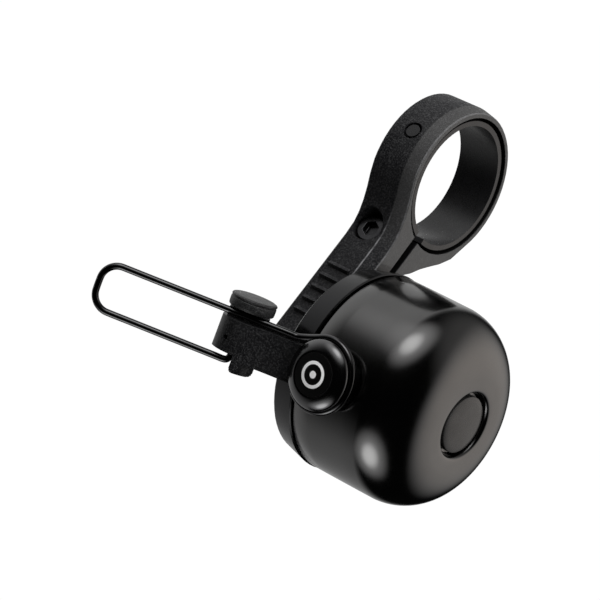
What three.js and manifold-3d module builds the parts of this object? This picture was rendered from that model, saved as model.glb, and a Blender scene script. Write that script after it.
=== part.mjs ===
// Compact handlebar bell: a hinged split clamp ring with a liner, a base disc carrying a
// spun dome on a central post, and a sprung wire lever that swings a hammer at the dome.
// Millimetres. X is the handlebar and dome axis with the dome facing +X, Z is up along the
// lever pivot, and the origin is the centre of the clamp ring on the handlebar axis.
import * as THREE from 'three';
import { mergeVertices } from 'three/addons/utils/BufferGeometryUtils.js';
import Module from 'manifold-3d';

const wasm = await Module();
wasm.setup();

// clamp ring and liner
const BAR_R = 11.1;
const LINER_R = 12.05;
const FLANGE_R = 12.6;
const LINER_BACK = -4.46;
const LINER_FRONT = 4.24;
const BORE_R = 12.7;
const RING_R = 14.1;
const HALF_W = 4.64;
const RIDGE_X = 2.0;
const PEG_R = 1.25;
const PEG_HOLE_R = 1.68;
const PEG_X = -0.4;

// outer wall of the arm, falling from the ring towards the lever
const WALL_TOP = [-14.18, -13.76];
const WALL_END = [-25.1, -33.7];

// clamp screw, across the slit
const SCREW_X = -1.5;
const SCREW_Y = -13.0;
const SCREW_Z = -10.9;
const SCREW_TILT = 28.7;

// bell
const BELL_Y = -14.8;
const BELL_Z = -34.15;
const BASE_BACK = 4.64;
const BASE_FRONT = 9.55;
const BASE_R_BACK = 17.0;
const BASE_R_FRONT = 18.1;
const LIP_R = 16.35;
const LIP_FRONT = 11.7;
const DOME_RIM = 10.15;
const DOME_R = 18.05;
const DOME_WALL = 1.2;
const BUTTON_R = 5.1;

// lever
const PIVOT_X = -0.684;
const PIVOT_Y = -37.228;
const LEVER_TURN = 29.5;
const STRIKE_TURN = 1.3;
const BELL_ROOM = 18.4;
const WIRE_R = 0.6;
const WIRE_OFF = -1.877;
const WIRE_TOP = -29.72;
const WIRE_LOW = -37.81;
const LOOP_END = -25.46;
const LOOP_CORNER = 3.08;
const HUB_R = 4.24;
const HUB_TOP = -30.65;
const HUB_BOTTOM = -36.27;
const COLLAR_R = 3.55;
const COLLAR_TOP = -29.15;
const BOSS_BOTTOM = -39.25;
const POCKET_TOP = -31.75;
const POCKET_BOTTOM = -35.26;
const EYE_TOP = -33.25;
const EYE_BOTTOM = -34.95;
const PIN_R = 1.0;

// hammer
const HAMMER_X = 15.15;
const HAMMER_Z = -33.6;
const CAP_X = 15.55;
const HOUSING_R = 5.2;
const RING_WIRE_R = 6.16;
const RING_WIRE_Y = -34.311;

const rad = THREE.MathUtils.degToRad;

function volumeOf(position, index) {
  const a = new THREE.Vector3();
  const b = new THREE.Vector3();
  const c = new THREE.Vector3();
  let total = 0;
  for (let i = 0; i < index.length; i += 3) {
    a.fromArray(position, index[i] * 3);
    b.fromArray(position, index[i + 1] * 3);
    c.fromArray(position, index[i + 2] * 3);
    total += a.dot(b.cross(c)) / 6;
  }
  return total;
}

// plain indexed geometry with no degenerate faces and faces pointing out
function tidy(geometry) {
  let g = geometry.clone();
  g.deleteAttribute('normal');
  g.deleteAttribute('uv');
  g = mergeVertices(g, 1e-4);
  const p = g.attributes.position.array;
  const raw = g.index.array;
  const keep = [];
  for (let i = 0; i < raw.length; i += 3) {
    const [a, b, c] = [raw[i], raw[i + 1], raw[i + 2]];
    if (a !== b && b !== c && c !== a) {
      keep.push(a, b, c);
    }
  }
  if (volumeOf(p, keep) < 0) {
    for (let i = 0; i < keep.length; i += 3) {
      [keep[i + 1], keep[i + 2]] = [keep[i + 2], keep[i + 1]];
    }
  }
  g.setIndex(keep);
  return g;
}

function solid(geometry) {
  const g = tidy(geometry);
  return new wasm.Manifold(new wasm.Mesh({
    numProp: 3,
    vertProperties: new Float32Array(g.attributes.position.array),
    triVerts: new Uint32Array(g.index.array),
  }));
}

function shapeOf(manifold) {
  const m = manifold.getMesh();
  const g = new THREE.BufferGeometry();
  const n = m.numProp;
  const count = m.vertProperties.length / n;
  const p = new Float32Array(count * 3);
  for (let i = 0; i < count; i += 1) {
    p[i * 3] = m.vertProperties[i * n];
    p[i * 3 + 1] = m.vertProperties[i * n + 1];
    p[i * 3 + 2] = m.vertProperties[i * n + 2];
  }
  g.setAttribute('position', new THREE.BufferAttribute(p, 3));
  g.setIndex(Array.from(m.triVerts));
  return g;
}

// solid of revolution about X, profile given as [x, r]
function turnedX(profile, segments, y = BELL_Y, z = BELL_Z) {
  const g = new THREE.LatheGeometry(profile.map(([x, r]) => new THREE.Vector2(r, x)), segments);
  g.applyMatrix4(new THREE.Matrix4().makeBasis(
    new THREE.Vector3(0, 1, 0),
    new THREE.Vector3(1, 0, 0),
    new THREE.Vector3(0, 0, -1),
  ));
  g.translate(0, y, z);
  return g;
}

// solid of revolution about Y, profile given as [y, r]
function turnedY(profile, segments, x = HAMMER_X, z = HAMMER_Z) {
  const g = new THREE.LatheGeometry(profile.map(([y, r]) => new THREE.Vector2(r, y)), segments);
  g.translate(x, 0, z);
  return g;
}

// solid of revolution about Z through the lever pivot, profile given as [z, r]
function turnedZ(profile, segments) {
  const g = new THREE.LatheGeometry(profile.map(([z, r]) => new THREE.Vector2(r, z)), segments);
  g.rotateX(Math.PI / 2);
  g.translate(PIVOT_X, PIVOT_Y, 0);
  return g;
}

function rod(radius, from, to, segments = 24) {
  const a = new THREE.Vector3(...from);
  const b = new THREE.Vector3(...to);
  const g = new THREE.CylinderGeometry(radius, radius, a.distanceTo(b), segments);
  const q = new THREE.Quaternion();
  q.setFromUnitVectors(new THREE.Vector3(0, 1, 0), b.clone().sub(a).normalize());
  g.applyQuaternion(q);
  g.translate((a.x + b.x) / 2, (a.y + b.y) / 2, (a.z + b.z) / 2);
  return g;
}

// box from its limits
function block(x0, x1, y0, y1, z0, z1) {
  const g = new THREE.BoxGeometry(x1 - x0, y1 - y0, z1 - z0);
  g.translate((x0 + x1) / 2, (y0 + y1) / 2, (z0 + z1) / 2);
  return g;
}

// polygon in the plan view pulled up between two heights
function plan(points, z0, z1) {
  const shape = new THREE.Shape(points.map(([x, y]) => new THREE.Vector2(x, y)));
  const g = new THREE.ExtrudeGeometry(shape, { depth: z1 - z0, bevelEnabled: false });
  g.translate(0, 0, z0);
  return g;
}

// polygon in the YZ plane pulled along X
function across(points, x0, x1) {
  const shape = new THREE.Shape(points.map(([y, z]) => new THREE.Vector2(y, z)));
  const g = new THREE.ExtrudeGeometry(shape, { depth: x1 - x0, bevelEnabled: false });
  g.applyMatrix4(new THREE.Matrix4().makeBasis(
    new THREE.Vector3(0, 1, 0),
    new THREE.Vector3(0, 0, 1),
    new THREE.Vector3(1, 0, 0),
  ));
  g.translate(x0, 0, 0);
  return g;
}

// body through outlines in the YZ plane that share a point count
function stacked(sections) {
  const n = sections[0].outline.length;
  const p = [];
  const index = [];
  sections.forEach(({ x, outline }) => outline.forEach(([y, z]) => p.push(x, y, z)));
  for (let i = 0; i < sections.length - 1; i += 1) {
    for (let j = 0; j < n; j += 1) {
      const a = i * n + j;
      const b = i * n + ((j + 1) % n);
      index.push(a, b, b + n, a, b + n, a + n);
    }
  }
  const flat = (s) => s.outline.map(([y, z]) => new THREE.Vector2(y, z));
  THREE.ShapeUtils.triangulateShape(flat(sections[0]), []).forEach(([a, b, c]) => index.push(a, c, b));
  const last = (sections.length - 1) * n;
  const end = flat(sections[sections.length - 1]);
  THREE.ShapeUtils.triangulateShape(end, []).forEach(([a, b, c]) => index.push(last + a, last + b, last + c));
  const g = new THREE.BufferGeometry();
  g.setAttribute('position', new THREE.BufferAttribute(new Float32Array(p), 3));
  g.setIndex(index);
  return g;
}

// outline moved inwards by its own amount at each point; the outline runs anticlockwise
function inset(outline, amounts) {
  const n = outline.length;
  return outline.map(([y, z], i) => {
    const [py, pz] = outline[(i + n - 1) % n];
    const [ny, nz] = outline[(i + 1) % n];
    const t = new THREE.Vector2(ny - py, nz - pz).normalize();
    return [y - t.y * amounts[i], z + t.x * amounts[i]];
  });
}

// wire of round section along a smooth path
function wire(points, radius, steps, sides = 8) {
  const path = new THREE.CatmullRomCurve3(points, false, 'centripetal');
  const ring = new THREE.Shape();
  for (let i = 0; i < sides; i += 1) {
    const a = (i / sides) * 2 * Math.PI;
    if (i === 0) {
      ring.moveTo(radius * Math.cos(a), radius * Math.sin(a));
    } else {
      ring.lineTo(radius * Math.cos(a), radius * Math.sin(a));
    }
  }
  return new THREE.ExtrudeGeometry(ring, { steps, bevelEnabled: false, extrudePath: path });
}

function intoLever(geometry) {
  geometry.rotateZ(rad(LEVER_TURN));
  geometry.translate(PIVOT_X, PIVOT_Y, 0);
  return geometry;
}

function leverPoint(s, out, z) {
  const v = new THREE.Vector3(s, out, z);
  v.applyAxisAngle(new THREE.Vector3(0, 0, 1), rad(LEVER_TURN));
  return v.add(new THREE.Vector3(PIVOT_X, PIVOT_Y, 0));
}

function screwPoint(t) {
  const c = Math.cos(rad(SCREW_TILT));
  const s = Math.sin(rad(SCREW_TILT));
  return [SCREW_X, SCREW_Y + c * t, SCREW_Z - s * t];
}

const bell = new THREE.Group();
bell.name = 'handlebar_bell';

function addPart(name, geometry, colour, roughness, metalness) {
  const material = new THREE.MeshStandardMaterial({ color: colour, roughness, metalness });
  material.name = name;
  const mesh = new THREE.Mesh(tidy(geometry), material);
  mesh.name = name;
  bell.add(mesh);
}

// ---- clamp arm: ring, ear, arm bar, base disc and lever tongue in one moulding
const outline = [];
const shave = [];
for (let a = -48; a <= 180; a += 6) {
  outline.push([RING_R * Math.cos(rad(a)), RING_R * Math.sin(rad(a))]);
  shave.push(0.5);
}
[[-13.78, -2.6], [-13.2, -5.1], [-12.87, -7.5], [-12.85, -9.5], [-13.15, -11.4]].forEach((q) => {
  outline.push(q);
  shave.push(0.7);
});
[WALL_TOP, [-19.6, -23.67], WALL_END].forEach((q) => {
  outline.push(q);
  shave.push(0.9);
});
[
  [-25.0, -35.0], [-23.9, -36.4], [-20.0, -38.1], [-14.0, -39.4], [-9.0, -38.6], [-6.0, -35.5],
  [-5.2, -31.0], [-5.6, -26.5], [-7.3, -22.8], [-9.6, -20.2], [-11.75, -18.65],
  [-8.9, -17.7], [-6.4, -17.45], [-4.3, -16.95], [-2.0, -15.95], [0.6, -15.15],
  [3.3, -14.4], [6.0, -13.2],
].forEach((q) => {
  outline.push(q);
  shave.push(0.05);
});
const none = shave.map(() => 0);
const edge = shave.map(() => 0.3);
const armBody = solid(stacked([
  { x: -HALF_W, outline: inset(outline, edge) },
  { x: -HALF_W + 0.35, outline: inset(outline, none) },
  { x: RIDGE_X, outline: inset(outline, none) },
  { x: HALF_W - 0.3, outline: inset(outline, shave) },
  { x: HALF_W, outline: inset(outline, shave.map((v) => v + 0.22)) },
]));
const slit = across([[-6.6, -8.8], [-11.69, -18.85], [-9.8, -18.9], [-4.4, -9.0]], -6, 6);
const baseDisc = solid(turnedX([
  [BASE_BACK - 0.4, 0],
  [BASE_BACK - 0.4, BASE_R_BACK - 1.2],
  [BASE_BACK, BASE_R_BACK - 0.25],
  [BASE_BACK + 0.35, BASE_R_BACK + 0.1],
  [BASE_FRONT - 0.25, BASE_R_FRONT],
  [BASE_FRONT, BASE_R_FRONT - 0.2],
  [BASE_FRONT, LIP_R],
  [LIP_FRONT, LIP_R],
  [LIP_FRONT, LIP_R - 0.6],
  [BASE_BACK + 1.8, BASE_R_BACK - 1.6],
  [BASE_BACK + 1.6, 6.4],
  [BASE_BACK + 3.2, 5.0],
  [10.9, 5.0],
  [10.9, 3.1],
  [5.7, 3.1],
  [5.7, 0],
], 72));
const tongue = solid(plan([
  [-3.6, -22.4], [-4.2, -26.2], [-3.3, -30.0], [-3.15, -36.6], [-2.9, -38.4], [-2.2, -39.2],
  [-1.3, -39.66], [-0.3, -39.7], [0.65, -39.35], [1.35, -38.68], [1.76, -37.8], [1.8, -36.6],
  [2.1, -31.0], [3.0, -27.5], [4.2, -25.2], [4.2, -22.4],
], EYE_BOTTOM, EYE_TOP));
const gusset = solid(across([
  [-23.0, -33.6], [-28.8, -34.2], [-28.4, -34.8], [-25.0, -36.2], [-22.6, -36.4],
], -2.2, 1.2));
let arm = armBody.subtract(solid(rod(BORE_R, [-8, 0, 0], [8, 0, 0], 72)));
arm = arm.subtract(solid(slit));
arm = arm.add(tongue).add(gusset);
arm = arm.subtract(solid(turnedX([
  [BASE_BACK, 0], [BASE_BACK, BASE_R_BACK - 2], [12, BASE_R_BACK - 2], [12, 0],
], 24)));
arm = arm.add(baseDisc);
arm = arm.subtract(solid(rod(3.1, [5.7, BELL_Y, BELL_Z], [13, BELL_Y, BELL_Z])));
arm = arm.subtract(solid(rod(2.95, screwPoint(-4), screwPoint(3.2), 28)));
arm = arm.subtract(solid(rod(1.45, screwPoint(2), screwPoint(6.2), 16)));
arm = arm.subtract(solid(rod(1.95, screwPoint(6.0), screwPoint(10.9), 20)));
const pegWay = [Math.cos(rad(150)), Math.sin(rad(150))];
arm = arm.subtract(solid(rod(
  PEG_HOLE_R,
  [PEG_X, pegWay[0] * 12, pegWay[1] * 12],
  [PEG_X, pegWay[0] * 16, pegWay[1] * 16],
)));
arm = arm.subtract(solid(rod(1.3, [PIVOT_X, PIVOT_Y, -36], [PIVOT_X, PIVOT_Y, -32])));
// plain raised ribs along the outer wall
const wallWay = new THREE.Vector2(WALL_END[0] - WALL_TOP[0], WALL_END[1] - WALL_TOP[1]).normalize();
for (let i = 0; i < 5; i += 1) {
  const d = 6.4 + i * 2.5;
  const y = WALL_TOP[0] + wallWay.x * d;
  const z = WALL_TOP[1] + wallWay.y * d;
  const rib = new THREE.BoxGeometry(4.6, 0.8, 1.3);
  rib.rotateX(Math.atan2(wallWay.x, -wallWay.y) * -1);
  rib.translate(-1.0, y + 0.877 * 0.15, z - 0.48 * 0.15);
  arm = arm.add(solid(rib));
}
addPart('clamp_arm', shapeOf(arm), 0x1b1c1e, 0.6, 0.0);

// ---- liner with its locating peg
let liner = solid(turnedX([
  [LINER_BACK, BAR_R], [LINER_BACK, LINER_R], [-2.9, LINER_R], [-2.9, FLANGE_R], [-1.1, FLANGE_R],
  [-1.1, LINER_R], [LINER_FRONT, LINER_R], [LINER_FRONT, BAR_R], [LINER_BACK, BAR_R],
], 64, 0, 0));
liner = liner.subtract(solid(across([[-5.5, -8.0], [-8.3, -14.6], [-5.3, -15.2], [-3.2, -8.4]], -6, 6)));
liner = liner.add(solid(rod(
  PEG_R,
  [PEG_X, pegWay[0] * 11.7, pegWay[1] * 11.7],
  [PEG_X, pegWay[0] * 13.95, pegWay[1] * 13.95],
)));
addPart('bar_liner', shapeOf(liner), 0x2b2b2c, 0.5, 0.0);

// ---- clamp screw and its threaded insert
let screw = solid(rod(2.5, screwPoint(1.15), screwPoint(2.9), 28));
screw = screw.add(solid(rod(1.05, screwPoint(2.5), screwPoint(10.2), 16)));
screw = screw.subtract(solid(rod(1.45, screwPoint(0), screwPoint(2.3), 6)));
addPart('clamp_screw', shapeOf(screw), 0x2a2a2b, 0.3, 1.0);
const insert = solid(rod(1.7, screwPoint(7.2), screwPoint(10.6), 20))
  .subtract(solid(rod(1.3, screwPoint(6), screwPoint(12), 16)));
addPart('clamp_insert', shapeOf(insert), 0xa98545, 0.35, 1.0);

// ---- dome
const shoulder = new THREE.CubicBezierCurve(
  new THREE.Vector2(23.5, 17.9),
  new THREE.Vector2(28.2, 17.62),
  new THREE.Vector2(32.2, 13.9),
  new THREE.Vector2(32.5, 8.6),
).getPoints(12).map((v) => [v.x, v.y]);
const inner = new THREE.CubicBezierCurve(
  new THREE.Vector2(31.3, 8.4),
  new THREE.Vector2(30.9, 12.9),
  new THREE.Vector2(27.6, 16.35),
  new THREE.Vector2(23.4, 16.7),
).getPoints(9).map((v) => [v.x, v.y]);
const domeProfile = [
  [DOME_RIM, DOME_R - DOME_WALL],
  [DOME_RIM, DOME_R - 0.15],
  [DOME_RIM + 0.15, DOME_R],
  [17.0, 17.95],
  ...shoulder,
  [32.5, 6.4],
  [32.3, 6.0],
  [31.7, 5.78],
  [31.0, 5.62],
  [30.6, 5.3],
  [30.6, 1.85],
  [29.4, 1.85],
  [29.4, 6.6],
  [30.2, 7.2],
  ...inner,
  [DOME_RIM, DOME_R - DOME_WALL],
];
addPart('bell_dome', turnedX(domeProfile, 72), 0x141414, 0.15, 1.0);

// ---- what holds the dome: post, grommet, screw and the cap over the screw
addPart('dome_post', turnedX([
  [6.0, 0], [6.0, 2.8], [26.9, 2.8], [26.9, 4.6], [28.05, 4.6], [28.05, 1.75], [14.0, 1.75], [14.0, 0],
], 32), 0x9a9a9c, 0.35, 1.0);
addPart('dome_grommet', turnedX([
  [28.35, 2.0], [28.35, 4.6], [29.1, 4.6], [29.1, 2.0], [28.35, 2.0],
], 32), 0x161616, 0.8, 0.0);
let domeScrew = solid(turnedX([
  [15.0, 0], [15.0, 1.45], [30.9, 1.45], [30.9, 2.9], [31.75, 2.9], [31.95, 2.6], [31.95, 0],
], 28));
domeScrew = domeScrew.subtract(solid(rod(1.25, [31.0, BELL_Y, BELL_Z], [33, BELL_Y, BELL_Z], 6)));
addPart('dome_screw', shapeOf(domeScrew), 0x8f8f92, 0.3, 1.0);
addPart('dome_cap', turnedX([
  [32.3, 0], [32.25, 3.3], [30.95, 3.3], [30.95, BUTTON_R], [31.95, BUTTON_R], [32.2, 4.8], [32.5, 2.6], [32.6, 0],
], 40), 0x202020, 0.3, 0.0);

// ---- lever body: hub, strip, lower boss and hammer housing
const hubOutline = [];
for (let a = -150; a <= 90; a += 6) {
  hubOutline.push([HUB_R * Math.cos(rad(a)), HUB_R * Math.sin(rad(a))]);
}
hubOutline.push([-3.4, 4.0], [-3.95, 3.6], [-4.1, 3.2], [-4.1, -1.0], [-3.97, -1.6]);
let lever = solid(plan(hubOutline, HUB_BOTTOM, HUB_TOP));
lever = lever.add(solid(block(1.0, 12.3, -3.03, -1.155, -37.33, -30.65)));
// blend from the round hub into the flat strip
lever = lever.add(solid(plan([
  [1.8, -3.84], [2.4, -3.64], [3.0, -3.44], [3.6, -3.27], [4.3, -3.13], [5.0, -3.03], [5.0, -2.0], [1.8, -2.0],
], -37.33, HUB_TOP)));
// lower boss, flush with the front of the hub
const bossOutline = (trim) => {
  const points = [];
  for (let d = 0.3 + trim; d < 4.0 - trim; d += 0.3) {
    points.push([d, -Math.sqrt(HUB_R * HUB_R - d * d) + trim]);
  }
  points.push([4.04 - trim, -1.2], [3.2 - trim, -0.6 - trim], [0.3 + trim, -0.6 - trim]);
  return points;
};
[[0, 0.7], [0.1, 0.35], [0.28, 0.12], [0.55, 0]].forEach(([trim, rise]) => {
  lever = lever.add(solid(plan(bossOutline(trim), BOSS_BOTTOM + rise, -35.9)));
});
// collar behind the wire, under the pin's head
lever = lever.add(solid(rod(COLLAR_R, [0, 0, HUB_TOP - 0.2], [0, 0, COLLAR_TOP], 40))
  .subtract(solid(block(-5, 5, -5, -0.98, -31, -28))));
// low rib behind the wire, along the top of the strip
lever = lever.add(solid(block(2.0, 9.5, -1.3, -0.6, -32.0, -30.7)));
lever = lever.add(solid(block(2.0, 9.5, -0.98, -0.6, -31.0, -29.9)));
// pocket for the tongue, its swing and the spring
const pocket = [
  [2.85, -0.2], [2.0, -2.0], [0, -2.8], [-2.0, -2.0], [-2.85, 0], [-2.9, 6], [6, 6], [6, 0.9],
];
lever = lever.subtract(solid(plan(pocket, POCKET_BOTTOM, POCKET_TOP)));
lever = lever.subtract(solid(rod(1.3, [0, 0, -40], [0, 0, -28], 20)));
lever = lever.subtract(solid(rod(0.9, [-0.35, WIRE_OFF, -37], [-0.35, WIRE_OFF, -34.8], 14)));
// small blind hole in the front of the hub
lever = lever.subtract(solid(rod(0.42, [-1.7, -3.2, -33.9], [-2.3, -4.3, -33.9], 14)));
lever = lever.rotate([0, 0, LEVER_TURN]).translate([PIVOT_X, PIVOT_Y, 0]);
// relief at the back of the strip for the base rim and the dome, at rest and at full strike
const bellRoom = solid(turnedX([[3.5, 0], [3.5, BELL_ROOM], [13.5, BELL_ROOM], [13.5, 0]], 96));
lever = lever.subtract(bellRoom).subtract(
  bellRoom.translate([-PIVOT_X, -PIVOT_Y, 0]).rotate([0, 0, -STRIKE_TURN]).translate([PIVOT_X, PIVOT_Y, 0]),
);
const housing = solid(turnedY([
  [-34.64, 0], [-34.64, HOUSING_R - 0.2], [-34.44, HOUSING_R], [-33.89, HOUSING_R], [-33.69, HOUSING_R - 0.2],
  [-33.69, 2.65], [-34.3, 2.65], [-34.3, 0],
], 40));
lever = lever.subtract(solid(turnedY([
  [-33.9, 0], [-33.9, 2.65], [-30, 2.65], [-30, 0],
], 20))).add(housing);
addPart('lever_body', shapeOf(lever), 0x161617, 0.5, 0.0);

// ---- wire lever: ring round the hammer, straight over the hub, finger loop and return
const way = [];
for (let a = -130; a <= 111; a += 13) {
  way.push(new THREE.Vector3(
    HAMMER_X + RING_WIRE_R * Math.cos(rad(a)),
    RING_WIRE_Y,
    HAMMER_Z + RING_WIRE_R * Math.sin(rad(a)),
  ));
}
way.push(new THREE.Vector3(12.0, RING_WIRE_Y, -28.28));
way.push(new THREE.Vector3(9.6, RING_WIRE_Y, -29.24));
way.push(leverPoint(9.0, WIRE_OFF, WIRE_TOP));
way.push(leverPoint(7.8, WIRE_OFF, WIRE_TOP));
for (let s = 5; s >= LOOP_END + LOOP_CORNER; s -= 3.4) {
  way.push(leverPoint(s, WIRE_OFF, WIRE_TOP));
}
for (let a = 90; a <= 180; a += 15) {
  way.push(leverPoint(
    LOOP_END + LOOP_CORNER + LOOP_CORNER * Math.cos(rad(a)),
    WIRE_OFF,
    WIRE_TOP - LOOP_CORNER + LOOP_CORNER * Math.sin(rad(a)),
  ));
}
for (let a = 180; a <= 270; a += 15) {
  way.push(leverPoint(
    LOOP_END + LOOP_CORNER + LOOP_CORNER * Math.cos(rad(a)),
    WIRE_OFF,
    WIRE_LOW + LOOP_CORNER + LOOP_CORNER * Math.sin(rad(a)),
  ));
}
for (let s = LOOP_END + LOOP_CORNER + 3; s < -3; s += 3.4) {
  way.push(leverPoint(s, WIRE_OFF, WIRE_LOW));
}
way.push(leverPoint(-1.4, WIRE_OFF, WIRE_LOW));
way.push(leverPoint(-0.8, WIRE_OFF, WIRE_LOW + 0.15));
way.push(leverPoint(-0.42, WIRE_OFF, WIRE_LOW + 0.7));
way.push(leverPoint(-0.35, WIRE_OFF, WIRE_LOW + 1.4));
way.push(leverPoint(-0.35, WIRE_OFF, -35.4));
addPart('lever_wire', wire(way, WIRE_R, 170), 0x0f0f10, 0.25, 0.9);

// ---- hammer: striker pad, glossy cap and badge
addPart('striker_pad', turnedY([
  [-34.0, 0], [-34.0, 2.31], [-33.5, 2.31], [-33.37, 2.05], [-33.35, 0],
], 28), 0x303032, 0.4, 0.0);
addPart('hammer_cap', turnedY([
  [-34.94, 0], [-34.94, 4.9], [-35.2, 5.4], [-35.35, 5.8], [-35.6, 5.95], [-35.9, 5.9], [-36.3, 5.6],
  [-36.7, 5.05], [-36.98, 4.5], [-37.12, 3.95], [-37.14, 3.85], [-36.7, 3.8], [-36.7, 0],
], 44, CAP_X), 0x0a0a0a, 0.05, 0.0);
addPart('hammer_badge', turnedY([
  [-36.95, 0], [-36.95, 3.55], [-37.13, 3.55], [-37.17, 3.45], [-37.17, 0],
], 40, CAP_X), 0x2c2c2e, 0.6, 0.0);

// ---- pivot pin with its broad plain head, and the return spring
addPart('pivot_pin', turnedZ([
  [-37.3, 0], [-37.3, 0.8], [-37.1, PIN_R], [-28.85, PIN_R], [-28.85, 3.75], [-28.65, 3.95], [-27.4, 4.0],
  [-27.25, 3.84], [-27.12, 3.84], [-26.98, 4.0], [-26.75, 3.92], [-26.62, 3.6], [-26.58, 0],
], 40), 0x3a3a3c, 0.6, 0.4);
const coil = [];
coil.push(leverPoint(-2.35, 2.6, -32.1));
coil.push(leverPoint(-2.1, 0.9, -32.1));
for (let a = 200; a <= 200 + 790; a += 30) {
  coil.push(leverPoint(
    1.85 * Math.cos(rad(a)),
    1.85 * Math.sin(rad(a)),
    -32.1 - (0.72 * (a - 200)) / 790,
  ));
}
coil.push(new THREE.Vector3(0.9, -34.6, -32.85));
coil.push(new THREE.Vector3(0.6, -31.8, -32.85));
addPart('return_spring', wire(coil, 0.17, 110, 6), 0xa8a8aa, 0.3, 1.0);

export default bell;
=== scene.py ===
"""Compact handlebar bell with a sprung wire lever: surfaces, looks, light and camera."""
import math
import bmesh
import bpy
from mathutils import Matrix, Vector


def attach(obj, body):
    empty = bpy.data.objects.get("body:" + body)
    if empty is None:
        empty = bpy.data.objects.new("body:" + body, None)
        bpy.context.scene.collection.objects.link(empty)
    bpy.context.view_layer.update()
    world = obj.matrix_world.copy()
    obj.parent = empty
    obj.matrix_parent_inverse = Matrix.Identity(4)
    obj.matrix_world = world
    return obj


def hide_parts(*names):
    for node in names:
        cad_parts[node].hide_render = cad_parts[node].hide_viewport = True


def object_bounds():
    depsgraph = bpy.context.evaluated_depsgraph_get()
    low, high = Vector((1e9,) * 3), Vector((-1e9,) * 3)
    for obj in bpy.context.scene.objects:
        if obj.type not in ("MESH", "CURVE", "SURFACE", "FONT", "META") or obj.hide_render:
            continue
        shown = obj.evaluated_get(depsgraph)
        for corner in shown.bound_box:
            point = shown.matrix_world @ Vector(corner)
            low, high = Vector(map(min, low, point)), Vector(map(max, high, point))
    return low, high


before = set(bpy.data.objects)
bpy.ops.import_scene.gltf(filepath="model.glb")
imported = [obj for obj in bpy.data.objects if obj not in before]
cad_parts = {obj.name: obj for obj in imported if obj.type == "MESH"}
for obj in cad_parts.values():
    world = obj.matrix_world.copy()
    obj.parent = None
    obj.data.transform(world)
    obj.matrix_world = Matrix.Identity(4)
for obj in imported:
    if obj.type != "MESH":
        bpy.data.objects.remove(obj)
cad_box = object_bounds()
MM = 0.001

# sizes shared with the CAD, in millimetres
BELL = (0.0, -14.8, -34.15)
HAMMER = (15.15, 0.0, -33.6)
CAP_CENTRE = (15.55, 0.0, -33.6)
PIVOT = (-0.684, -37.228, 0.0)
LEVER_TURN = math.radians(29.5)
WIRE_R = 0.6
WIRE_OFF = -1.877
WIRE_TOP = -29.72
WIRE_LOW = -37.81
LOOP_END = -25.4
LOOP_CORNER = 3.08
RING_WIRE_R = 6.16
RING_WIRE_Y = -34.311
RIDGE_X = 2.0
SPRING_R = 1.85
SPRING_WIRE_R = 0.17
SPRING_TOP = -32.1
SPRING_DROP = 0.72

# sizes used only by the materials, in metres
RING_BORE_R = 0.01274
RIM_FRONT_X = 0.00926
FRONT_FACE_X = 0.0044
CHAMFER_X = 0.00195
SLIT_MID = (-0.0055, -0.0089)
SLIT_ACROSS = (0.885, -0.466)
SLIT_HALF = 0.00108

FLOOR_SIZE = 3.0
FLOOR_GAP = 0.002
CAMERA_LENS = 166.3


# ---------------------------------------------------------------- mesh helpers
def new_object(name, mesh):
    piece = bpy.data.objects.new(name, mesh)
    bpy.context.scene.collection.objects.link(piece)
    return piece


def smooth(mesh, angle):
    """Smooth shading with sharp edges above the angle, in degrees."""
    mesh.polygons.foreach_set("use_smooth", [True] * len(mesh.polygons))
    mesh.set_sharp_from_angle(angle=math.radians(angle))
    mesh.update()


def finished(bm, name, angle):
    """A new object from closed bmesh faces."""
    bmesh.ops.recalc_face_normals(bm, faces=bm.faces)
    mesh = bpy.data.meshes.new(name)
    bm.to_mesh(mesh)
    bm.free()
    smooth(mesh, angle)
    return new_object(name, mesh)


def bezier(p0, p1, p2, p3, steps):
    """Points after the first one on a cubic curve."""
    out = []
    for k in range(1, steps + 1):
        t = k / steps
        u = 1 - t
        out.append(tuple(
            u ** 3 * p0[i] + 3 * u * u * t * p1[i] + 3 * u * t * t * p2[i] + t ** 3 * p3[i]
            for i in (0, 1)
        ))
    return out


def place(axis, centre, along, r, a):
    """Point at angle a and radius r round an axis through the centre, in metres."""
    c, s = r * math.cos(a), r * math.sin(a)
    v = {"X": (along, c, s), "Y": (c, along, s), "Z": (c, s, along)}[axis]
    return tuple((v[i] + centre[i]) * MM for i in range(3))


def turned(name, profile, axis, centre, segments=128, closed=False, angle=35.0):
    """Solid of revolution. The profile is (along, radius) in millimetres; axis is X, Y or Z."""
    bm = bmesh.new()
    rings = []
    for along, r in profile:
        if r < 1e-6:
            rings.append([bm.verts.new(place(axis, centre, along, 0, 0))])
        else:
            rings.append([
                bm.verts.new(place(axis, centre, along, r, 2 * math.pi * k / segments))
                for k in range(segments)
            ])
    pairs = list(zip(rings, rings[1:]))
    if closed:
        pairs.append((rings[-1], rings[0]))
    for a, b in pairs:
        if len(a) == 1 and len(b) == 1:
            continue
        for k in range(segments):
            m = (k + 1) % segments
            if len(a) == 1:
                bm.faces.new((a[0], b[k], b[m]))
            elif len(b) == 1:
                bm.faces.new((a[k], b[0], a[m]))
            else:
                bm.faces.new((a[k], b[k], b[m], a[m]))
    return finished(bm, name, angle)


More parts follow.
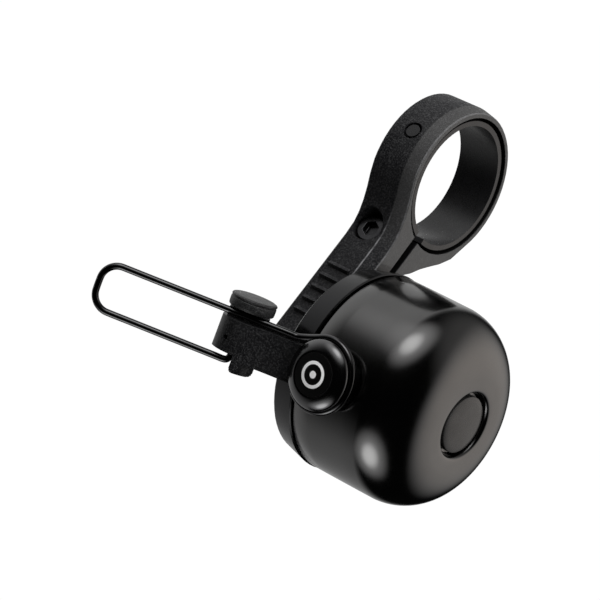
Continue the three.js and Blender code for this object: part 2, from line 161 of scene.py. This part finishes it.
def swept(name, points, radius, sides=20):
    """Round wire with flat ends along a list of points."""
    pts = [Vector(p) for p in points]
    last = len(pts) - 1
    tangents = [(pts[min(i + 1, last)] - pts[max(i - 1, 0)]).normalized() for i in range(last + 1)]
    side = tangents[0].orthogonal().normalized()
    bm = bmesh.new()
    rings = []
    for i, (p, tangent) in enumerate(zip(pts, tangents)):
        if i:
            side = tangents[i - 1].rotation_difference(tangent) @ side
        side = (side - tangent * side.dot(tangent)).normalized()
        other = tangent.cross(side)
        ring = []
        for k in range(sides):
            a = 2 * math.pi * k / sides
            off = side * (radius * math.cos(a)) + other * (radius * math.sin(a))
            ring.append(bm.verts.new((p + off) * MM))
        rings.append(ring)
    for a, b in zip(rings, rings[1:]):
        for k in range(sides):
            m = (k + 1) % sides
            bm.faces.new((a[k], b[k], b[m], a[m]))
    bm.faces.new(rings[0])
    bm.faces.new(rings[-1][::-1])
    return finished(bm, name, 50)


def spline(controls, per_span):
    """Points on a centripetal spline through the controls."""
    pts = [Vector(p) for p in controls]
    pts = [pts[0] * 2 - pts[1]] + pts + [pts[-1] * 2 - pts[-2]]
    out = []
    for i in range(1, len(pts) - 2):
        p0, p1, p2, p3 = pts[i - 1:i + 3]
        t0 = 0.0
        t1 = t0 + max((p1 - p0).length, 1e-6) ** 0.5
        t2 = t1 + max((p2 - p1).length, 1e-6) ** 0.5
        t3 = t2 + max((p3 - p2).length, 1e-6) ** 0.5
        for k in range(per_span):
            t = t1 + (t2 - t1) * k / per_span
            a1 = p0 * ((t1 - t) / (t1 - t0)) + p1 * ((t - t0) / (t1 - t0))
            a2 = p1 * ((t2 - t) / (t2 - t1)) + p2 * ((t - t1) / (t2 - t1))
            a3 = p2 * ((t3 - t) / (t3 - t2)) + p3 * ((t - t2) / (t3 - t2))
            b1 = a1 * ((t2 - t) / (t2 - t0)) + a2 * ((t - t0) / (t2 - t0))
            b2 = a2 * ((t3 - t) / (t3 - t1)) + a3 * ((t - t1) / (t3 - t1))
            out.append(b1 * ((t2 - t) / (t2 - t1)) + b2 * ((t - t1) / (t2 - t1)))
    out.append(pts[-2])
    return out


def softened(cad_name, name, bevel, ridge=None):
    """The CAD node's own shape as a new piece with small edge radii and smooth shading.

    A shallow ridge line at x = ridge (millimetres) also gets a narrow flat.
    """
    bm = bmesh.new()
    bm.from_mesh(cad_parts[cad_name].data)
    bmesh.ops.remove_doubles(bm, verts=bm.verts, dist=1e-7)
    bmesh.ops.dissolve_limit(bm, angle_limit=math.radians(0.8), verts=bm.verts, edges=bm.edges)
    bmesh.ops.recalc_face_normals(bm, faces=bm.faces)
    weight = bm.edges.layers.float.new("bevel_weight_edge")
    for e in bm.edges:
        if len(e.link_faces) != 2:
            continue
        if e.calc_face_angle() > math.radians(32):
            e[weight] = 1.0
        elif ridge is not None and all(abs(v.co.x - ridge * MM) < 2e-5 for v in e.verts):
            e[weight] = 0.55
    piece = finished(bm, name, 28)
    mod = piece.modifiers.new("edges", "BEVEL")
    mod.width = bevel * MM
    mod.segments = 2
    mod.limit_method = "WEIGHT"
    mod.use_clamp_overlap = True
    mod.harden_normals = True
    return piece


def in_lever(s, out, z):
    """Point s along the lever from the pivot and out from its middle, in millimetres."""
    c, n = math.cos(LEVER_TURN), math.sin(LEVER_TURN)
    return (PIVOT[0] + c * s - n * out, PIVOT[1] + n * s + c * out, z)


# ---------------------------------------------------------------- shader helpers; m is a node tree
def node(m, kind):
    return m.nodes.new(kind)


def coords(m, kind="Object"):
    return node(m, "ShaderNodeTexCoord").outputs[kind]


def noise(m, scale, detail=3.0, rough=0.6):
    n = node(m, "ShaderNodeTexNoise")
    n.inputs["Scale"].default_value = scale
    n.inputs["Detail"].default_value = detail
    n.inputs["Roughness"].default_value = rough
    m.links.new(coords(m), n.inputs["Vector"])
    return n.outputs["Fac"]


def ranged(m, value, low, high, out_low, out_high, kind="LINEAR"):
    n = node(m, "ShaderNodeMapRange")
    n.interpolation_type = kind
    n.inputs["From Min"].default_value = low
    n.inputs["From Max"].default_value = high
    n.inputs["To Min"].default_value = out_low
    n.inputs["To Max"].default_value = out_high
    m.links.new(value, n.inputs["Value"])
    return n.outputs["Result"]


def mixed(m, factor, a, b):
    """Colour mix from a to b. Each is a colour or a socket."""
    n = node(m, "ShaderNodeMix")
    n.data_type = "RGBA"
    m.links.new(factor, n.inputs[0])
    for socket, colour in ((n.inputs[6], a), (n.inputs[7], b)):
        if isinstance(colour, tuple):
            socket.default_value = (*colour, 1)
        else:
            m.links.new(colour, socket)
    return n.outputs[2]


def maths(m, operation, a, b=0):
    n = node(m, "ShaderNodeMath")
    n.operation = operation
    for i, v in enumerate((a, b)):
        if isinstance(v, (int, float)):
            n.inputs[i].default_value = v
        else:
            m.links.new(v, n.inputs[i])
    return n.outputs[0]


def product(m, *values):
    out = values[0]
    for v in values[1:]:
        out = maths(m, "MULTIPLY", out, v)
    return out


def band(m, value, middle, low, high, top=1):
    """Value top within low of the middle, falling to 0 at high from it."""
    off = maths(m, "ABSOLUTE", maths(m, "SUBTRACT", value, middle))
    return ranged(m, off, low, high, top, 0)


def distance(m, a, b, a0, b0):
    """Distance of the point a, b from a0, b0."""
    da = maths(m, "SUBTRACT", a, a0)
    db = maths(m, "SUBTRACT", b, b0)
    squares = maths(m, "ADD", maths(m, "MULTIPLY", da, da), maths(m, "MULTIPLY", db, db))
    return maths(m, "SQRT", squares)


def split_coords(m):
    n = node(m, "ShaderNodeSeparateXYZ")
    m.links.new(coords(m), n.inputs[0])
    return n.outputs["X"], n.outputs["Y"], n.outputs["Z"]


def bumped(m, shader, height, strength, depth):
    n = node(m, "ShaderNodeBump")
    n.inputs["Strength"].default_value = strength
    n.inputs["Distance"].default_value = depth
    m.links.new(height, n.inputs["Height"])
    m.links.new(n.outputs["Normal"], shader.inputs["Normal"])


def material(name, colour, roughness, metallic=0.0, specular=0.5):
    """New material, with its node tree and its shader."""
    mat = bpy.data.materials.new(name)
    mat.use_nodes = True
    shader = mat.node_tree.nodes["Principled BSDF"]
    shader.inputs["Base Color"].default_value = (*colour, 1)
    shader.inputs["Roughness"].default_value = roughness
    shader.inputs["Metallic"].default_value = metallic
    shader.inputs["Specular IOR Level"].default_value = specular
    return mat, mat.node_tree, shader


# ---------------------------------------------------------------- materials
def surface(name, tones, rough, grain, metallic=0.0, specular=0.5, speck=None):
    """Slow drift between two tones, drift of roughness, a fine bump and, with speck, light grains.

    grain is (scale, detail, strength, depth in metres).
    """
    mat, m, shader = material(name, tones[0], rough[0], metallic, specular)
    base = mixed(m, ranged(m, noise(m, 160, 2.0), 0.35, 0.65, 0, 1), *tones)
    if speck:
        base = mixed(m, ranged(m, noise(m, 3600, 2.0, 0.7), 0.48, 0.72, 0, 1), base, speck)
    m.links.new(base, shader.inputs["Base Color"])
    m.links.new(ranged(m, noise(m, 900), 0.3, 0.7, *rough), shader.inputs["Roughness"])
    scale, detail, strength, depth = grain
    bumped(m, shader, noise(m, scale, detail), strength, depth)
    return mat


def arm_material():
    """Fine grained moulding with a smooth base rim; painted highlights along the ridge, the front edge and
    the rim edge, a painted lighter tone on the chamfer and front face as if lit, and painted shade on the
    walls inside bore and slit.
    """
    mat, m, shader = material("arm_grained", (0.022, 0.022, 0.024), 0.5, specular=0.17)
    x, y, z = split_coords(m)
    # base disc, and a painted highlight: a lighter band along its rim's front edge
    away = distance(m, y, z, BELL[1] * MM, BELL[2] * MM)
    disc = product(m, ranged(m, x, 0.00455, 0.0048, 0, 1), ranged(m, away, 0.0182, 0.0184, 1, 0))
    rim_highlight = product(m, ranged(m, x, RIM_FRONT_X, 0.00938, 0, 0.8), ranged(m, away, 0.0173, 0.0175, 0, 1))
    grained = maths(m, "SUBTRACT", 1.0, disc)
    # painted shade: the walls inside the bore and the slit are painted near black
    bore = ranged(m, distance(m, y, z, 0.0, 0.0), RING_BORE_R, 0.0128, 1, 0)
    across = maths(
        m, "ADD",
        maths(m, "MULTIPLY", maths(m, "SUBTRACT", y, SLIT_MID[0]), SLIT_ACROSS[0]),
        maths(m, "MULTIPLY", maths(m, "SUBTRACT", z, SLIT_MID[1]), SLIT_ACROSS[1]),
    )
    slit = product(
        m,
        band(m, across, 0.0, SLIT_HALF, 0.00114),
        ranged(m, z, -0.0092, -0.0088, 1, 0),
        ranged(m, z, -0.0192, -0.0188, 0, 1),
    )
    behind_face = ranged(m, x, FRONT_FACE_X, 0.0046, 1, 0)
    shaded_walls = product(m, maths(m, "MAXIMUM", bore, slit), behind_face)
    outer = product(m, grained, maths(m, "SUBTRACT", 1.0, shaded_walls))
    # painted highlight: a lighter line along the ridge on the arm bar and along the front edge
    on_bar = ranged(m, z, -0.014, -0.006, 1, 0)
    edge_highlight = product(m, band(m, x, 0.00205, 0.00006, 0.00017), on_bar)
    edge_highlight = maths(m, "MAXIMUM", edge_highlight, band(m, x, 0.00448, 0.00006, 0.00014, 0.45))
    edge_highlight = product(m, edge_highlight, ranged(m, noise(m, 900), 0.35, 0.6, 0.35, 1.0), outer)
    # painted light: the ring's chamfer and the front face are painted lighter, as if lit from the front
    painted_front_light = product(m, ranged(m, x, CHAMFER_X, 0.00215, 0, 0.6), maths(m, "SUBTRACT", 1.0, on_bar))
    painted_front_light = maths(m, "MAXIMUM", painted_front_light, ranged(m, x, FRONT_FACE_X, 0.0046, 0, 1))
    painted_front_light = product(m, painted_front_light, grained)
    speck = product(m, outer, ranged(m, noise(m, 3600, 2.0, 0.7), 0.45, 0.75, 0, 0.42))
    drift = ranged(m, noise(m, 140, 2.0), 0.35, 0.65, 0, 1)
    base = mixed(m, drift, (0.0045, 0.0045, 0.0052), (0.0075, 0.0075, 0.0082))
    # tones in order: smooth disc, painted rim highlight, painted light on chamfer and front face, light
    # grain specks, painted edge highlight, painted shade inside bore and slit
    for factor, tone in (
        (disc, (0.042, 0.042, 0.043)),
        (rim_highlight, (0.14, 0.14, 0.142)),
        (painted_front_light, (0.048, 0.0475, 0.047)),
        (speck, (0.088, 0.088, 0.09)),
        (edge_highlight, (0.15, 0.15, 0.155)),
        (shaded_walls, (0.002, 0.002, 0.002)),
    ):
        base = mixed(m, factor, base, tone)
    m.links.new(base, shader.inputs["Base Color"])
    m.links.new(disc, shader.inputs["Metallic"])
    rough = ranged(m, noise(m, 700), 0.3, 0.7, 0.44, 0.54)
    rough = maths(m, "ADD", rough, maths(m, "MULTIPLY", disc, -0.28))
    rough = maths(m, "ADD", rough, maths(m, "MULTIPLY", shaded_walls, 0.45))
    m.links.new(rough, shader.inputs["Roughness"])
    bumped(m, shader, product(m, noise(m, 2600, 4.0, 0.7), grained), 0.6, 0.0001)
    return mat


def badge_material():
    """Matte disc printed with a plain ring and dot."""
    mat, m, shader = material("badge_print", (0.03, 0.03, 0.032), 0.45, specular=0.2)
    x, _, z = split_coords(m)
    away = distance(m, x, z, CAP_CENTRE[0] * MM, CAP_CENTRE[2] * MM)
    ring = product(m, ranged(m, away, 0.00170, 0.00176, 0, 1), ranged(m, away, 0.00226, 0.00232, 1, 0))
    dot = ranged(m, away, 0.00060, 0.00066, 1, 0)
    printed = product(m, maths(m, "MAXIMUM", ring, dot), ranged(m, noise(m, 2500), 0.2, 0.35, 0.85, 1.0))
    base = mixed(m, printed, (0.002, 0.002, 0.002), (0.95, 0.95, 0.95))
    m.links.new(base, shader.inputs["Base Color"])
    bumped(m, shader, noise(m, 3000), 0.15, 0.00003)
    return mat


ARM = arm_material()
BADGE = badge_material()
DOME = surface(
    "dome_black_gloss", ((0.146, 0.145, 0.144), (0.154, 0.153, 0.152)), (0.15, 0.18),
    (500, 2.0, 0.03, 0.00002), metallic=1.0,
)
CAP = surface(
    "cap_satin", ((0.036, 0.035, 0.0345), (0.046, 0.045, 0.0445)), (0.24, 0.3),
    (1500, 2.0, 0.04, 0.00002), metallic=0.6,
)
LINER = surface(
    "liner_satin", ((0.008, 0.008, 0.0085), (0.013, 0.013, 0.0135)), (0.24, 0.32),
    (1800, 3.0, 0.12, 0.00003), specular=0.45,
)
LEVER = surface(
    "lever_moulded", ((0.004, 0.004, 0.0045), (0.008, 0.008, 0.0085)), (0.32, 0.42),
    (2600, 3.0, 0.5, 0.00007), speck=(0.035, 0.035, 0.036),
)
WIRE = surface(
    "wire_coated", ((0.08, 0.08, 0.081), (0.11, 0.11, 0.111)), (0.14, 0.2),
    (2000, 2.0, 0.06, 0.00002), metallic=1.0,
)
GLOSS = surface(
    "hammer_gloss", ((0.14, 0.14, 0.142), (0.16, 0.16, 0.162)), (0.17, 0.2),
    (900, 2.0, 0.02, 0.00001), metallic=1.0,
)
KNOB = surface(
    "knob_grained", ((0.006, 0.006, 0.006), (0.014, 0.014, 0.0145)), (0.36, 0.46),
    (3000, 4.0, 0.8, 0.0001), specular=0.55, speck=(0.032, 0.032, 0.0325),
)
BLACK_STEEL = surface(
    "screw_black_steel", ((0.09, 0.09, 0.095), (0.13, 0.13, 0.135)), (0.18, 0.28),
    (2500, 3.0, 0.1, 0.00002), metallic=1.0,
)
STEEL = surface(
    "bright_steel", ((0.5, 0.5, 0.51), (0.62, 0.62, 0.63)), (0.24, 0.36),
    (2500, 3.0, 0.1, 0.00002), metallic=1.0,
)
BRASS = surface(
    "insert_brass", ((0.55, 0.39, 0.16), (0.66, 0.47, 0.2)), (0.26, 0.38),
    (2500, 3.0, 0.1, 0.00002), metallic=1.0,
)
RUBBER = surface(
    "grommet_rubber", ((0.015, 0.015, 0.015), (0.025, 0.025, 0.025)), (0.6, 0.75),
    (1500, 4.0, 0.3, 0.00005),
)
PAD = surface(
    "striker_moulded", ((0.035, 0.035, 0.037), (0.055, 0.055, 0.058)), (0.34, 0.46),
    (2200, 3.0, 0.15, 0.00003),
)


def dress(piece, mat, body, cad_name):
    """The piece takes the material, rides on the body and stands for the CAD node."""
    piece.data.materials.clear()
    piece.data.materials.append(mat)
    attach(piece, body)
    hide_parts(cad_name)


def repaint(cad_name, mat):
    """The CAD node keeps its shape and takes the material."""
    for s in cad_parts[cad_name].material_slots:
        s.link = "OBJECT"
        s.material = mat


# ---------------------------------------------------------------- clamp side
dress(softened("clamp_arm", "arm_moulding", 0.22, ridge=RIDGE_X), ARM, "clamp", "clamp_arm")
dress(softened("bar_liner", "liner_band", 0.18), LINER, "clamp", "bar_liner")
dress(softened("clamp_screw", "socket_screw", 0.16), BLACK_STEEL, "clamp", "clamp_screw")
repaint("clamp_insert", BRASS)

# ---------------------------------------------------------------- dome
outer_curve = [(23.5, 17.9)] + bezier((23.5, 17.9), (28.2, 17.62), (32.2, 13.9), (32.5, 8.6), 28)
inner_curve = [(31.3, 8.4)] + bezier((31.3, 8.4), (30.9, 12.9), (27.6, 16.35), (23.4, 16.7), 16)
dome_profile = (
    [(10.15, 16.85), (10.15, 17.85), (10.25, 17.94), (13.5, 17.95), (17.0, 17.94), (20.5, 17.92)]
    + outer_curve
    + [
        (32.5, 7.2), (32.5, 6.5), (32.45, 6.25), (32.3, 6.03), (32.05, 5.88), (31.7, 5.78), (31.0, 5.62),
        (30.65, 5.5), (30.6, 5.2), (30.6, 4.9), (30.6, 1.9), (30.5, 1.85), (29.5, 1.85), (29.4, 1.9),
        (29.4, 6.6), (30.2, 7.2),
    ]
    + inner_curve
)
dome = turned("dome_shell", dome_profile, "X", BELL, 192, closed=True, angle=50)
dress(dome, DOME, "clamp", "bell_dome")
button = turned("dome_button", [
    (32.3, 0.0), (32.25, 3.3), (30.95, 3.3), (30.95, 5.1), (31.85, 5.1), (32.05, 5.04), (32.17, 4.84),
    (32.3, 4.0), (32.42, 2.8), (32.5, 1.5), (32.53, 0.0),
], "X", BELL, 96, angle=40)
dress(button, CAP, "clamp", "dome_cap")
for part, mat in (("dome_post", STEEL), ("dome_screw", STEEL), ("dome_grommet", RUBBER)):
    repaint(part, mat)

# ---------------------------------------------------------------- lever
dress(softened("lever_body", "lever_moulding", 0.3), LEVER, "lever", "lever_body")
route = []
for a in range(-130, 112, 6):
    t = math.radians(a)
    route.append((
        HAMMER[0] + RING_WIRE_R * math.cos(t), RING_WIRE_Y, HAMMER[2] + RING_WIRE_R * math.sin(t),
    ))
route += [(12.0, RING_WIRE_Y, -28.28), (9.6, RING_WIRE_Y, -29.24)]
route += [in_lever(s, WIRE_OFF, WIRE_TOP) for s in [9.0, 7.8] + [5 - 3.4 * k for k in range(9)]]
for start, level, side in ((90, WIRE_TOP, -1), (180, WIRE_LOW, 1)):
    for a in range(start, start + 91, 10):
        t = math.radians(a)
        route.append(in_lever(
            LOOP_END + LOOP_CORNER * (1 + math.cos(t)), WIRE_OFF, level + LOOP_CORNER * (math.sin(t) + side),
        ))
route += [in_lever(LOOP_END + LOOP_CORNER + 3 + 3.4 * k, WIRE_OFF, WIRE_LOW) for k in range(6)]
route += [in_lever(*p) for p in (
    (-1.4, WIRE_OFF, WIRE_LOW), (-0.8, WIRE_OFF, WIRE_LOW + 0.15), (-0.42, WIRE_OFF, WIRE_LOW + 0.7),
    (-0.35, WIRE_OFF, WIRE_LOW + 1.4), (-0.35, WIRE_OFF, -35.4),
)]
dress(swept("lever_rod", spline(route, 3), WIRE_R), WIRE, "lever", "lever_wire")

# ---------------------------------------------------------------- hammer
shell = turned("hammer_shell", [
    (-34.94, 0.0), (-34.94, 4.85), (-35.02, 5.05), (-35.18, 5.4), (-35.32, 5.75), (-35.45, 5.9),
    (-35.62, 5.95), (-35.85, 5.92), (-36.1, 5.78), (-36.4, 5.48), (-36.65, 5.13), (-36.85, 4.77),
    (-37.0, 4.42), (-37.1, 4.1), (-37.14, 3.92), (-37.12, 3.82), (-36.7, 3.8), (-36.7, 0.0),
], "Y", CAP_CENTRE, 128, angle=50)
dress(shell, GLOSS, "lever", "hammer_cap")
badge = turned("badge_disc", [
    (-36.95, 0.0), (-36.95, 3.66), (-37.08, 3.7), (-37.14, 3.66), (-37.17, 3.55), (-37.17, 0.0),
], "Y", CAP_CENTRE, 96)
dress(badge, BADGE, "lever", "hammer_badge")
pad = turned("striker_disc", [
    (-34.0, 0.0), (-34.0, 2.2), (-33.93, 2.31), (-33.6, 2.31), (-33.45, 2.2), (-33.37, 1.9),
    (-33.35, 1.4), (-33.35, 0.0),
], "Y", HAMMER, 64)
dress(pad, PAD, "lever", "striker_pad")

# ---------------------------------------------------------------- pivot
head = turned("pivot_head", [
    (-37.3, 0.0), (-37.3, 0.75), (-37.1, 1.0), (-28.85, 1.0), (-28.84, 3.6), (-28.76, 3.82), (-28.6, 3.94),
    (-28.2, 3.98), (-27.42, 3.99), (-27.32, 3.95), (-27.26, 3.86), (-27.12, 3.86), (-27.05, 3.95),
    (-26.95, 4.0), (-26.82, 3.97), (-26.7, 3.86), (-26.62, 3.66), (-26.58, 3.3), (-26.58, 0.0),
], "Z", PIVOT, 96, angle=40)
dress(head, KNOB, "clamp", "pivot_pin")
turns = [in_lever(-2.05, 1.7, SPRING_TOP), in_lever(-2.03, 0.9, SPRING_TOP)]
for a in range(200, 991, 15):
    t = math.radians(a)
    down = SPRING_DROP * (a - 200) / 790
    turns.append(in_lever(SPRING_R * math.cos(t), SPRING_R * math.sin(t), SPRING_TOP - down))
turns += [(0.9, -34.6, -32.85), (0.6, -31.8, -32.85)]
dress(swept("return_coil", spline(turns, 2), SPRING_WIRE_R, 12), STEEL, "clamp", "return_spring")

# ---------------------------------------------------------------- floor
floor_z = cad_box[0][2] - FLOOR_GAP
floor_mesh = bpy.data.meshes.new("floor")
floor_mesh.from_pydata(
    [(sx * FLOOR_SIZE, sy * FLOOR_SIZE, floor_z) for sx, sy in ((-1, -1), (1, -1), (1, 1), (-1, 1))],
    [], [(0, 1, 2, 3)],
)
floor = new_object("floor", floor_mesh)
floor_mat, floor_tree, floor_shader = material("floor_pale", (0.0, 0.0, 0.0), 1.0, specular=0.0)
glow = mixed(floor_tree, noise(floor_tree, 3.0, 1.0), (0.99, 0.99, 0.99), (1.0, 1.0, 1.0))
floor_tree.links.new(glow, floor_shader.inputs["Emission Color"])
floor_shader.inputs["Emission Strength"].default_value = 1.02
floor.data.materials.append(floor_mat)
floor.visible_glossy = False
floor.visible_diffuse = False

# ---------------------------------------------------------------- studio round the object
world = bpy.data.worlds.new("studio")
bpy.context.scene.world = world
world.use_nodes = True
studio = world.node_tree
background = studio.nodes["Background"]
way = coords(studio, "Generated")


def lobe(direction, low, high, top):
    """Soft patch of light: 0 where the cosine to the direction is low, top where it is high."""
    n = node(studio, "ShaderNodeVectorMath")
    n.operation = "DOT_PRODUCT"
    n.inputs[1].default_value = Vector(direction).normalized()
    studio.links.new(way, n.inputs[0])
    return ranged(studio, n.outputs["Value"], low, high, 0.0, top, "SMOOTHSTEP")


back_left = product(
    studio,
    lobe((-1, 0, 0), 0.32, 0.50, 0.64),
    lobe((0, 1, 0), -0.82, -0.05, 1.0),
    maths(studio, "ADD", lobe((0, 0, 1), -0.9, 0.4, 0.5), 0.5),
)
front = maths(
    studio, "ADD",
    lobe((0.62, 0.77, 0.05), 0.57, 1.0, 0.77),
    lobe((0.50, 0.62, 0.60), 0.55, 0.95, 0.2),
)
total = 0.004
for part in (
    back_left,
    front,
    lobe((-0.05, -0.47, 0.88), 0.95, 0.999, 2.0),
    lobe((-0.05, -0.42, 0.89), 0.80, 0.99, 0.95),
    lobe((0.06, -0.40, -0.915), 0.955, 0.999, 2.1),
    lobe((0.06, -0.40, -0.915), 0.84, 0.99, 0.85),
):
    total = maths(studio, "ADD", total, part)
strength = node(studio, "ShaderNodeMix")
strength.data_type = "FLOAT"
rays = node(studio, "ShaderNodeLightPath")
studio.links.new(rays.outputs["Is Camera Ray"], strength.inputs[0])
studio.links.new(total, strength.inputs[2])
strength.inputs[3].default_value = 1.05
studio.links.new(strength.outputs[0], background.inputs["Strength"])
studio.links.new(mixed(studio, front, (1.0, 1.0, 1.0), (1.0, 0.925, 0.865)), background.inputs["Color"])


def softbox(name, where, size, power):
    """Round lamp aimed at the object, which shows in no reflection."""
    data = bpy.data.lights.new(name, "AREA")
    data.shape = "DISK"
    data.size = size
    data.energy = power
    lamp = bpy.data.objects.new(name, data)
    lamp.location = where
    aim = Vector((0.004, -0.02, -0.02)) - Vector(where)
    lamp.rotation_euler = aim.to_track_quat("-Z", "Y").to_euler()
    lamp.visible_glossy = False
    bpy.context.scene.collection.objects.link(lamp)


softbox("key_top", (0.15, -0.1, 0.6), 0.45, 5.6)
softbox("front_fill", (0.6, -0.1, 0.1), 0.5, 4.5)
softbox("back_fill", (-0.5, 0.4, 0.2), 0.5, 7.0)

# ---------------------------------------------------------------- camera
cam_data = bpy.data.cameras.new("camera")
cam_data.lens = CAMERA_LENS
cam_data.sensor_width = 36
cam_data.clip_start = 0.05
cam_data.clip_end = 20
camera = bpy.data.objects.new("camera", cam_data)
bpy.context.scene.collection.objects.link(camera)
right = Vector((0.7298, 0.588, 0.3488))
up = Vector((-0.3717, -0.087, 0.9243))
look = Vector((-0.5738, 0.8042, -0.155))
turn = Matrix((right, up, -look)).transposed()
camera.matrix_world = Matrix.Translation((0.26885, -0.40289, 0.04699)) @ turn.to_4x4()
bpy.context.scene.camera = camera
bpy.context.scene.view_settings.view_transform = "Standard"
bpy.context.scene.view_settings.look = "None"
